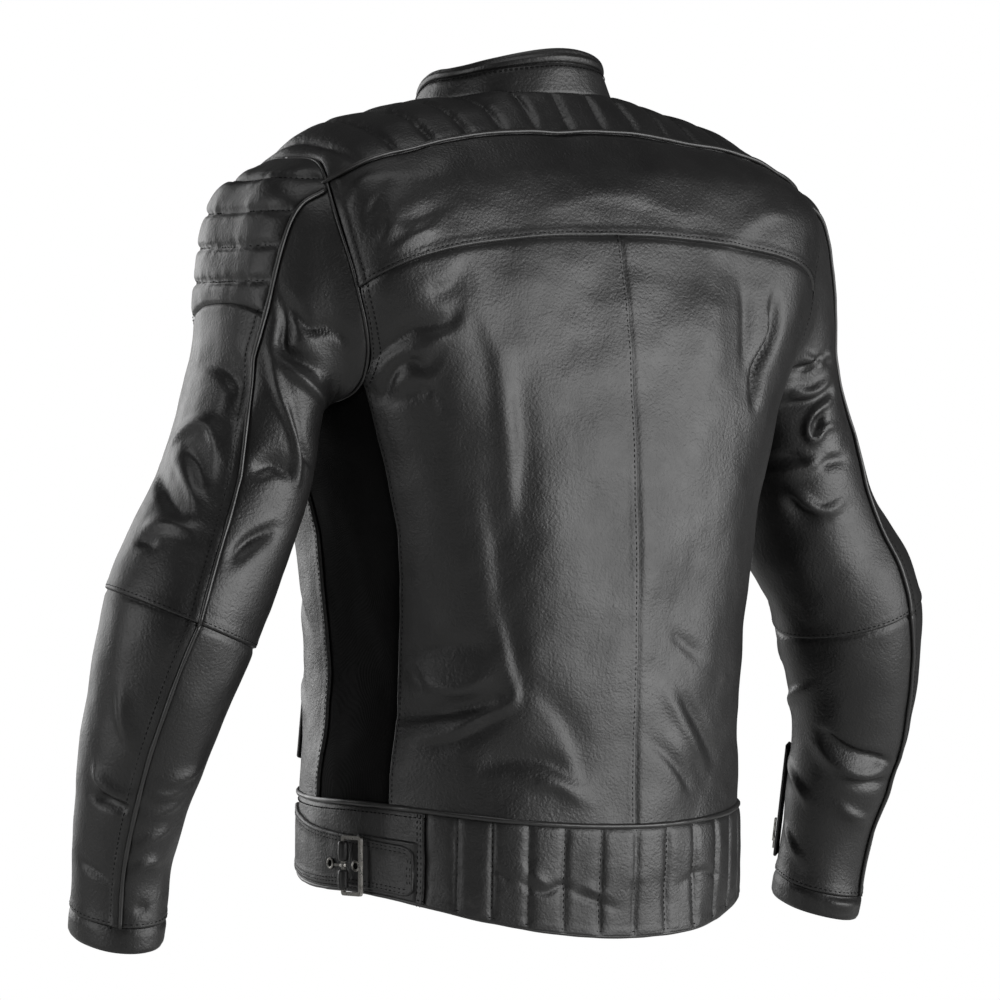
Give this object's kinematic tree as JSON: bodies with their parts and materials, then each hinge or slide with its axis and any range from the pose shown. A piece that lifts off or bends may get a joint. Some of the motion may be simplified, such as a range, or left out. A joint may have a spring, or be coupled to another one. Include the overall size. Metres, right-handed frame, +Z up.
{
  "type": "leather riding jacket",
  "caption": "Black leather riding jacket with quilted shoulders and waistband, stand collar, front zip, waist buckles and bending sleeves.",
  "frame": {"origin": "centre of the neck opening, at the height of the collar seam on the centre back", "axes": "+X towards the wearer's left, across the jacket from cuff to cuff; +Y towards the back; +Z up"},
  "size_m": [0.7844, 0.3257, 0.7083],
  "materials": {
    "leather": "semi-gloss black grain leather",
    "quilted_leather": "semi-gloss black leather, channel quilted",
    "stretch_fabric": "matt black ribbed stretch",
    "lining": "matt dark mesh",
    "protector_foam": "matt foam",
    "metal": "antique nickel",
    "zip_tape": "matt woven tape with metal teeth"
  },
  "bodies": {
    "torso": {"lower_back_left": "leather", "lower_back_right": "leather", "front_panel_left": "leather", "front_panel_right": "leather", "waistband_side_left": "leather", "waistband_side_right": "leather", "waist_strap_left": "leather", "waist_strap_right": "leather", "buckle_loop_left": "leather", "buckle_loop_right": "leather", "upper_back": "leather", "collar_stand": "leather", "collar_top_band": "leather", "quilted_yoke": "quilted_leather", "waistband_back": "quilted_leather", "side_stretch_panel_left": "stretch_fabric", "side_stretch_panel_right": "stretch_fabric", "lining_back": "lining", "hanger_loop": "lining", "lining_front_left": "lining", "lining_front_right": "lining", "back_protector": "protector_foam", "front_zip_tape_left": "zip_tape", "front_zip_tape_right": "zip_tape", "pocket_zip_tape_left": "zip_tape", "pocket_zip_tape_right": "zip_tape"},
    "zip_slider": {"front_zip_slider": "metal"},
    "zip_pull": {"front_zip_pull": "metal"},
    "collar_flap": {"collar_tab": "leather"},
    "upper_arm_left": {"sleeve_cap_left": "quilted_leather", "upper_sleeve_outer_left": "leather", "upper_sleeve_under_left": "leather", "upper_sleeve_lining_left": "lining", "shoulder_protector_left": "protector_foam"},
    "forearm_left": {"forearm_outer_left": "leather", "forearm_under_left": "leather", "cuff_band_left": "leather", "forearm_lining_left": "lining", "elbow_protector_left": "protector_foam", "cuff_zip_tape_left": "zip_tape"},
    "cuff_slider_left": {"cuff_zip_slider_left": "metal"},
    "pocket_slider_left": {"pocket_zip_slider_left": "metal"},
    "buckle_left": {"buckle_frame_left": "metal"},
    "prong_left": {"buckle_prong_left": "metal"},
    "upper_arm_right": {"sleeve_cap_right": "quilted_leather", "upper_sleeve_outer_right": "leather", "upper_sleeve_under_right": "leather", "upper_sleeve_lining_right": "lining", "shoulder_protector_right": "protector_foam"},
    "forearm_right": {"forearm_outer_right": "leather", "forearm_under_right": "leather", "cuff_band_right": "leather", "forearm_lining_right": "lining", "elbow_protector_right": "protector_foam", "cuff_zip_tape_right": "zip_tape"},
    "cuff_slider_right": {"cuff_zip_slider_right": "metal"},
    "pocket_slider_right": {"pocket_zip_slider_right": "metal"},
    "buckle_right": {"buckle_frame_right": "metal"},
    "prong_right": {"buckle_prong_right": "metal"}
  },
  "joints": [
    {"name": "front_zip", "type": "slide", "parent": "torso", "child": "zip_slider", "axis": [0, 0.1172, 0.9931], "range_m": [-0.5, 0]},
    {"name": "zip_pull_swing", "type": "hinge", "parent": "zip_slider", "child": "zip_pull", "pos_m": [0, -0.09533, -0.05771], "axis": [-1, 0, 0], "range_deg": [0, 150]},
    {"name": "collar_flap_open", "type": "hinge", "parent": "torso", "child": "collar_flap", "pos_m": [0.03666, -0.08098, -0.02189], "axis": [-0.1663, 0.107, 0.9803], "range_deg": [0, 110]},
    {"name": "shoulder_left", "type": "hinge", "parent": "torso", "child": "upper_arm_left", "pos_m": [0.222, 0.012, -0.13], "axis": [-1, 0, 0], "range_deg": [0, 30]},
    {"name": "elbow_left", "type": "hinge", "parent": "upper_arm_left", "child": "forearm_left", "pos_m": [0.325, 0.013, -0.415], "axis": [-0.9397, -0.0595, -0.3369], "range_deg": [0, 35]},
    {"name": "cuff_zip_left", "type": "slide", "parent": "forearm_left", "child": "cuff_slider_left", "axis": [0.0425, -0.2335, -0.9714], "range_m": [-0.06, 0]},
    {"name": "pocket_zip_left", "type": "slide", "parent": "torso", "child": "pocket_slider_left", "axis": [-0.1433, -0.053, 0.9883], "range_m": [-0.08, 0]},
    {"name": "buckle_swing_left", "type": "hinge", "parent": "torso", "child": "buckle_left", "pos_m": [0.1806, 0.02366, -0.60932], "axis": [-0.0072, -0.005, -1], "range_deg": [0, 60]},
    {"name": "prong_swing_left", "type": "hinge", "parent": "torso", "child": "prong_left", "pos_m": [0.1806, 0.02366, -0.60932], "axis": [0.0072, 0.005, 1], "range_deg": [0, 60]},
    {"name": "shoulder_right", "type": "hinge", "parent": "torso", "child": "upper_arm_right", "pos_m": [-0.222, 0.012, -0.13], "axis": [-1, 0, 0], "range_deg": [0, 30]},
    {"name": "elbow_right", "type": "hinge", "parent": "upper_arm_right", "child": "forearm_right", "pos_m": [-0.325, 0.013, -0.415], "axis": [-0.9397, 0.0595, 0.3369], "range_deg": [0, 35]},
    {"name": "cuff_zip_right", "type": "slide", "parent": "forearm_right", "child": "cuff_slider_right", "axis": [-0.0425, -0.2335, -0.9714], "range_m": [-0.06, 0]},
    {"name": "pocket_zip_right", "type": "slide", "parent": "torso", "child": "pocket_slider_right", "axis": [0.1433, -0.053, 0.9883], "range_m": [-0.08, 0]},
    {"name": "buckle_swing_right", "type": "hinge", "parent": "torso", "child": "buckle_right", "pos_m": [-0.1806, 0.02366, -0.60932], "axis": [-0.0072, 0.005, 1], "range_deg": [0, 60]},
    {"name": "prong_swing_right", "type": "hinge", "parent": "torso", "child": "prong_right", "pos_m": [-0.1806, 0.02366, -0.60932], "axis": [0.0072, -0.005, -1], "range_deg": [0, 60]}
  ]
}
